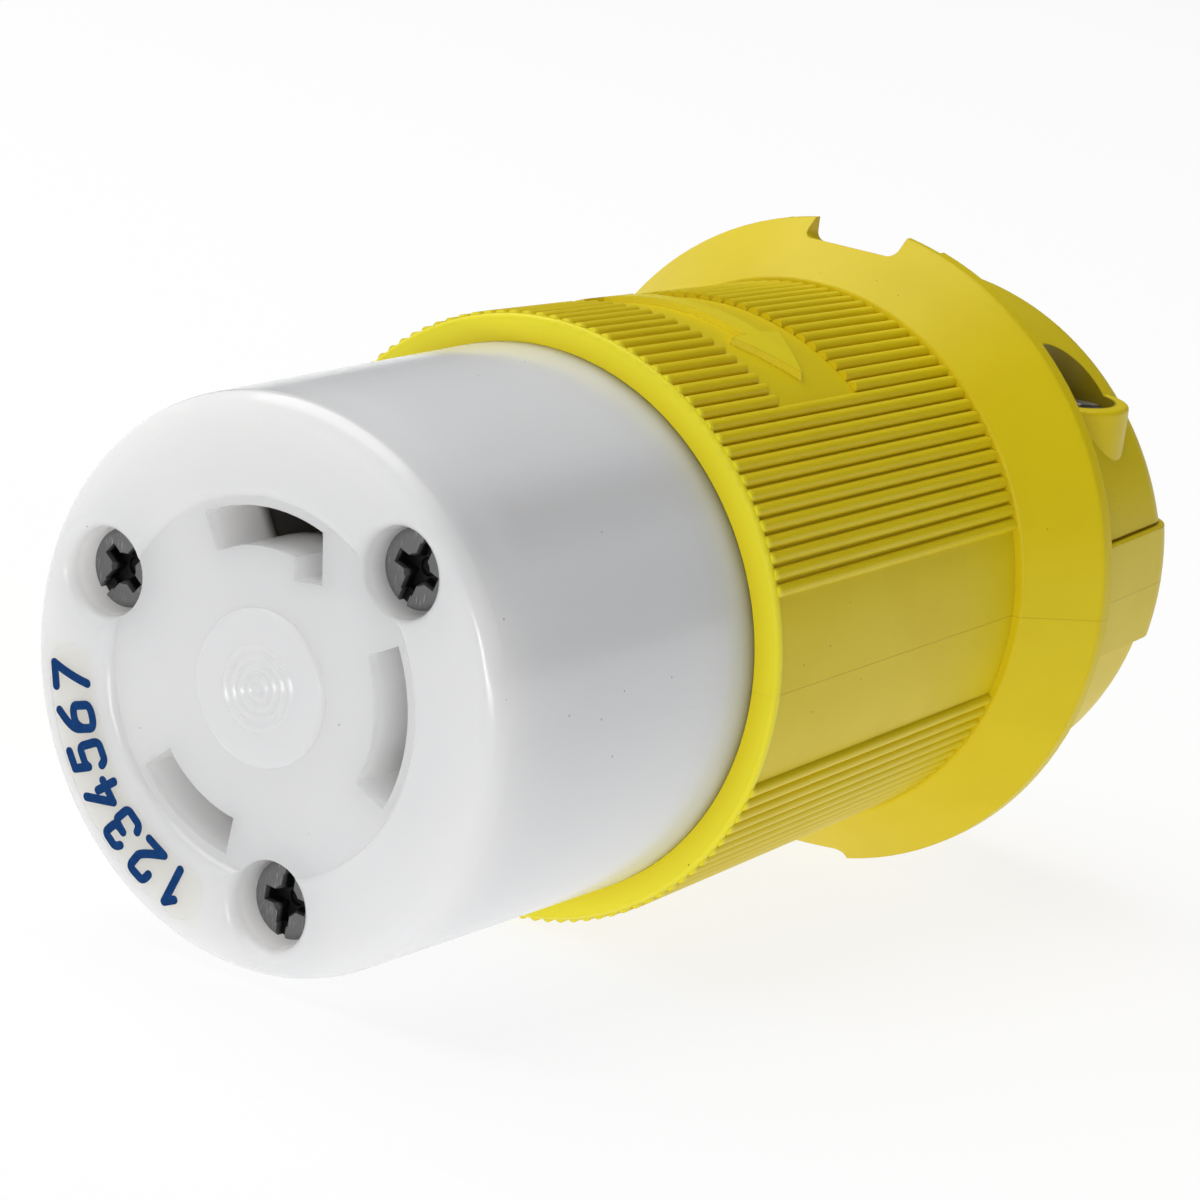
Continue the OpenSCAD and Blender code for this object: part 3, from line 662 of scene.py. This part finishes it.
class CONNECTOR_OT_arrow(Operator):
    """Mould a plain two-headed turn arrow in the housing's window"""
    bl_idname = "connector.arrow"
    bl_label = "Turn arrow"

    def execute(self, context):
        look = context.scene.arrow_look
        steps, neck = 12, look.bar_span + math.radians(0.6)
        point = [(look.span, look.head / (2 * steps), 0)]
        point += [(neck + (look.span - neck) * i / steps, look.head * (1 - i / steps), look.height)
                  for i in reversed(range(steps))]
        bar = [(look.bar_span * i / steps, look.bar, look.height) for i in range(-steps, steps + 1)]
        stations = [(-turn, half, high) for turn, half, high in point] + bar + point[::-1]
        sections = []
        for turn, half, high in stations:
            angle = math.pi / 2 + turn
            middle = cover_point(angle, look.middle)
            side = (cover_point(angle, look.middle - look.head) - middle).normalized()
            out = Vector((math.cos(angle), 0, math.sin(angle)))
            sections.append(bar_section(middle, side, out, half, -look.height / 2, high, look.slope))
        housing = context.scene.housing_look
        # The arrow's lighter colour is painted light on its raised lines.
        arrow = add_bars(context, "turn_arrow", [sections],
                         yellow_nylon("arrow_nylon", housing, look.color, housing.color))
        return {"FINISHED"}


class CONNECTOR_OT_studio(Operator):
    """Set up the floor, the light and the camera"""
    bl_idname = "connector.studio"
    bl_label = "Studio"

    def execute(self, context):
        look = context.scene.studio_look
        self.floor(context, look)
        self.world(context, look)
        right, back = look.flag_x, look.flag_y
        self.flag(context, look, "right_flag", (right, -FLAG_REACH), (right, FLAG_REACH))
        self.flag(context, look, "back_flag", (right, back), (-FLAG_REACH, back))
        self.lamp(context, "key", KEY_SPOT, KEY_SIZE, look.key)
        self.lamp(context, "top", TOP_SPOT, TOP_SIZE, look.top)
        self.camera(context, look)
        context.scene.view_settings.view_transform = "Standard"
        return {"FINISHED"}

    def plain_white(self, shader):
        """1 for the rays that should see a white background."""
        path = shader.node("ShaderNodeLightPath", output="Is Camera Ray")
        return path.math("MAXIMUM", path.also("Is Glossy Ray")).math(
            "MAXIMUM", path.also("Is Transmission Ray"))

    def floor(self, context, look):
        """A wide floor that the flange and the lip both touch, as the part lies on a table.
        It slopes only near the part."""
        far, near = FLOOR_REACH, SLOPE_REACH
        slope = (AXIS_Z - LIP_RADIUS) / (LIP_FOOT_Y - FLANGE_FOOT_Y)
        corners = [(x, y, (bend - FLANGE_FOOT_Y) * slope)
                   for y, bend in ((-far, -near), (-near, -near), (near, near), (far, near))
                   for x in (-far, far)]
        mesh = bpy.data.meshes.new("floor")
        mesh.from_pydata(corners, [], [(i, i + 1, i + 3, i + 2) for i in (0, 2, 4)])
        floor = bpy.data.objects.new("floor", mesh)
        context.scene.collection.objects.link(floor)
        shader = new_shader("floor")
        matte = shader.node("ShaderNodeBsdfDiffuse", None, {"Color": rgba(look.floor_color)})
        glow = shader.node("ShaderNodeEmission", None, {"Strength": FLOOR_STRENGTH})
        surface = shader.node(
            "ShaderNodeMixShader", None,
            {0: self.plain_white(shader) * (look.floor_glow - look.floor_light) + look.floor_light,
             1: matte, 2: glow})
        shader.node("ShaderNodeOutputMaterial", None, {"Surface": surface})
        mesh.materials.append(shader.owner)

    def flag(self, context, look, name, start, end):
        """A tall dark card that shades one side. The camera doesn't see it."""
        low, high = look.flag_low, FLAG_REACH
        mesh = bpy.data.meshes.new(name)
        mesh.from_pydata([(*start, low), (*end, low), (*end, high), (*start, high)], [], [(0, 1, 2, 3)])
        flag = bpy.data.objects.new(name, mesh)
        flag.visible_camera = False
        context.scene.collection.objects.link(flag)
        shader = new_shader(name)
        matte = shader.node("ShaderNodeBsdfDiffuse", None, {"Color": rgba(look.flag_color)})
        shader.node("ShaderNodeOutputMaterial", None, {"Surface": matte})
        mesh.materials.append(shader.owner)

    def world(self, context, look):
        world = bpy.data.worlds.new("studio")
        context.scene.world = world
        shader = Shader(world)
        level = shader.node("ShaderNodeBackground", None, {"Strength": look.ambient})
        white = shader.node("ShaderNodeBackground", None, {"Strength": 1.0})
        for background in (level, white):
            background.socket.node.inputs["Color"].default_value = (1, 1, 1, 1)
        surface = shader.node(
            "ShaderNodeMixShader", None, {0: self.plain_white(shader), 1: level, 2: white})
        shader.node("ShaderNodeOutputWorld", None, {"Surface": surface})

    def lamp(self, context, name, spot, size, power):
        """A soft square lamp that points at the part."""
        light = bpy.data.lights.new(name, "AREA")
        light.size = size
        light.energy = power
        lamp = bpy.data.objects.new(name, light)
        lamp.location = spot
        lamp.rotation_euler = (spot - Vector((0, 0, AXIS_Z))).to_track_quat("Z", "Y").to_euler()
        context.scene.collection.objects.link(lamp)

    def camera(self, context, look):
        data = bpy.data.cameras.new("camera")
        data.lens = look.lens
        data.sensor_width = 36.0
        data.clip_start = 0.01
        back = Vector((math.sin(look.azimuth) * math.cos(look.elevation),
                       -math.cos(look.azimuth) * math.cos(look.elevation),
                       math.sin(look.elevation)))
        camera = bpy.data.objects.new("camera", data)
        turn = back.to_track_quat("Z", "Y").to_matrix().to_4x4()
        spot = Vector(look.aim) + back * look.distance
        camera.matrix_world = Matrix.Translation(spot) @ turn @ Matrix.Rotation(look.roll, 4, "Z")
        context.scene.collection.objects.link(camera)
        context.scene.camera = camera


class CONNECTOR_PT_panel(Panel):
    """Looks of the connector"""
    bl_idname = "CONNECTOR_PT_panel"
    bl_label = "Connector"
    bl_space_type = "VIEW_3D"
    bl_region_type = "UI"
    bl_category = "Connector"

    def draw(self, context):
        for group, operator in STEPS:
            box = self.layout.box()
            box.operator(operator.bl_idname)
            look = getattr(context.scene, group)
            for name in look.bl_rna.properties.keys():
                if name not in ("rna_type", "name"):
                    box.prop(look, name)


LOOKS = {
    "face_look": FaceLook,
    "housing_look": HousingLook,
    "inside_look": InsideLook,
    "numeral_look": NumeralLook,
    "arrow_look": ArrowLook,
    "studio_look": StudioLook,
}
STEPS = (
    ("face_look", CONNECTOR_OT_face),
    ("housing_look", CONNECTOR_OT_housing),
    ("inside_look", CONNECTOR_OT_inside),
    ("numeral_look", CONNECTOR_OT_numerals),
    ("arrow_look", CONNECTOR_OT_arrow),
    ("studio_look", CONNECTOR_OT_studio),
)
CLASSES = (*LOOKS.values(), *(operator for _, operator in STEPS), CONNECTOR_PT_panel)


def register():
    for cls in CLASSES:
        bpy.utils.register_class(cls)
    for name, group in LOOKS.items():
        setattr(bpy.types.Scene, name, PointerProperty(type=group))


def unregister():
    for name in LOOKS:
        delattr(bpy.types.Scene, name)
    for cls in reversed(CLASSES):
        bpy.utils.unregister_class(cls)


def main():
    register()
    bpy.ops.connector.face()
    bpy.ops.connector.housing()
    bpy.ops.connector.inside()
    bpy.ops.connector.numerals()
    bpy.ops.connector.arrow()
    bpy.ops.connector.studio()


if __name__ == "__main__":
    main()
